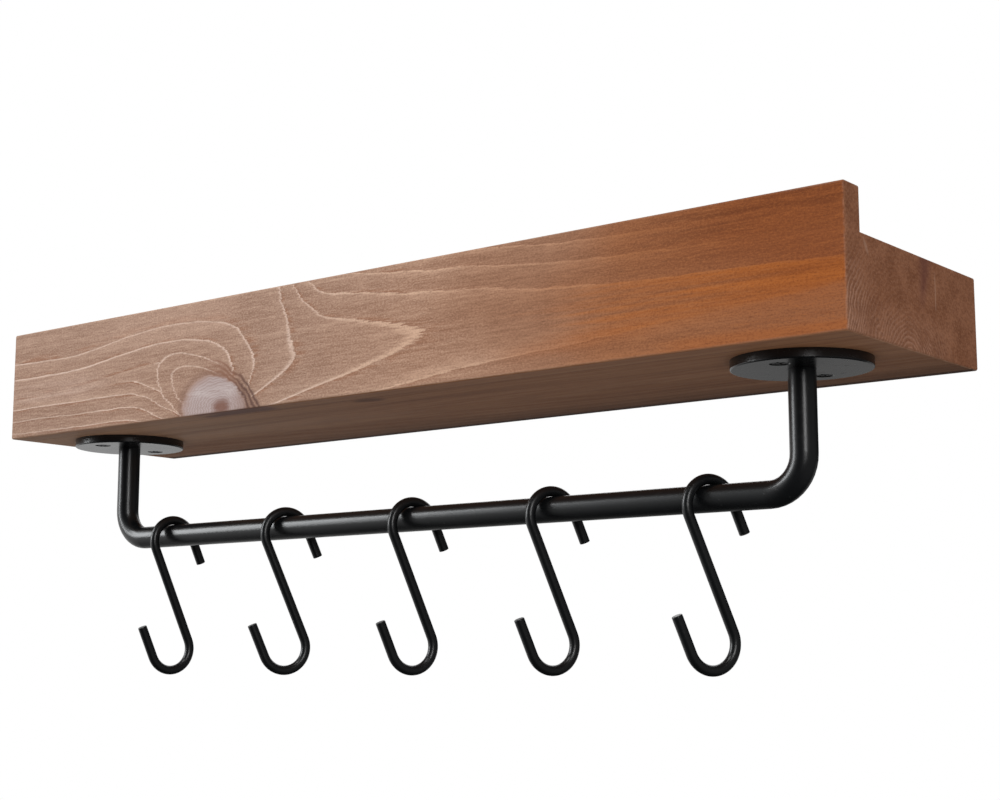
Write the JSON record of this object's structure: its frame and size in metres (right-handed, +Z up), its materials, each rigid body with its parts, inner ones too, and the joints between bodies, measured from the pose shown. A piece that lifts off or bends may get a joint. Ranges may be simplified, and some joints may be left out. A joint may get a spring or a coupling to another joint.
{
  "type": "wall shelf with hook rail",
  "caption": "Wall shelf of stained pine with a raised front lip, and a round steel rail below it on which loose S-hooks hang and swing.",
  "frame": {"origin": "on the wall plane, half-way between the two keyholes, at the height of their entry holes", "axes": "+Z up, +X to the right seen from the front, +Y into the wall; the shelf stands out towards -Y"},
  "size_m": [0.61, 0.14, 0.2224],
  "materials": {
    "pine_shelf": "stained and oiled pine, satin",
    "pine_front": "stained and oiled pine, brushed grain, satin",
    "black_rail": "satin black powder coat",
    "black_flange": "satin black powder coat",
    "black_hook": "satin black powder coat",
    "black_screw": "black phosphate",
    "zinc_plate": "zinc plated"
  },
  "bodies": {
    "shelf": {"shelf_board": "pine_shelf", "front_board": "pine_front", "rail_tube": "black_rail", "flange_left": "black_flange", "flange_right": "black_flange", "flange_screws": "black_screw", "hanger_plate_left": "zinc_plate", "hanger_plate_right": "zinc_plate", "hanger_screws": "zinc_plate"},
    "s_hook_1": {"s_hook_1": "black_hook"},
    "s_hook_2": {"s_hook_2": "black_hook"},
    "s_hook_3": {"s_hook_3": "black_hook"},
    "s_hook_4": {"s_hook_4": "black_hook"},
    "s_hook_5": {"s_hook_5": "black_hook"}
  },
  "joints": [
    {"name": "hook_1_swing", "type": "hinge", "parent": "shelf", "child": "s_hook_1", "pos_m": [-0.205, -0.085, -0.0885], "axis": [0.9816, -0.1908, 0], "range_deg": [-90, 60]},
    {"name": "hook_2_swing", "type": "hinge", "parent": "shelf", "child": "s_hook_2", "pos_m": [-0.1025, -0.085, -0.0885], "axis": [0.9135, -0.4067, 0], "range_deg": [-90, 60]},
    {"name": "hook_3_swing", "type": "hinge", "parent": "shelf", "child": "s_hook_3", "pos_m": [-0.0003, -0.085, -0.0885], "axis": [0.9455, -0.3256, 0], "range_deg": [-90, 60]},
    {"name": "hook_4_swing", "type": "hinge", "parent": "shelf", "child": "s_hook_4", "pos_m": [0.0988, -0.085, -0.0885], "axis": [0.9272, -0.3746, 0], "range_deg": [-90, 60]},
    {"name": "hook_5_swing", "type": "hinge", "parent": "shelf", "child": "s_hook_5", "pos_m": [0.1976, -0.085, -0.0885], "axis": [0.91, -0.4147, 0], "range_deg": [-90, 60]}
  ]
}
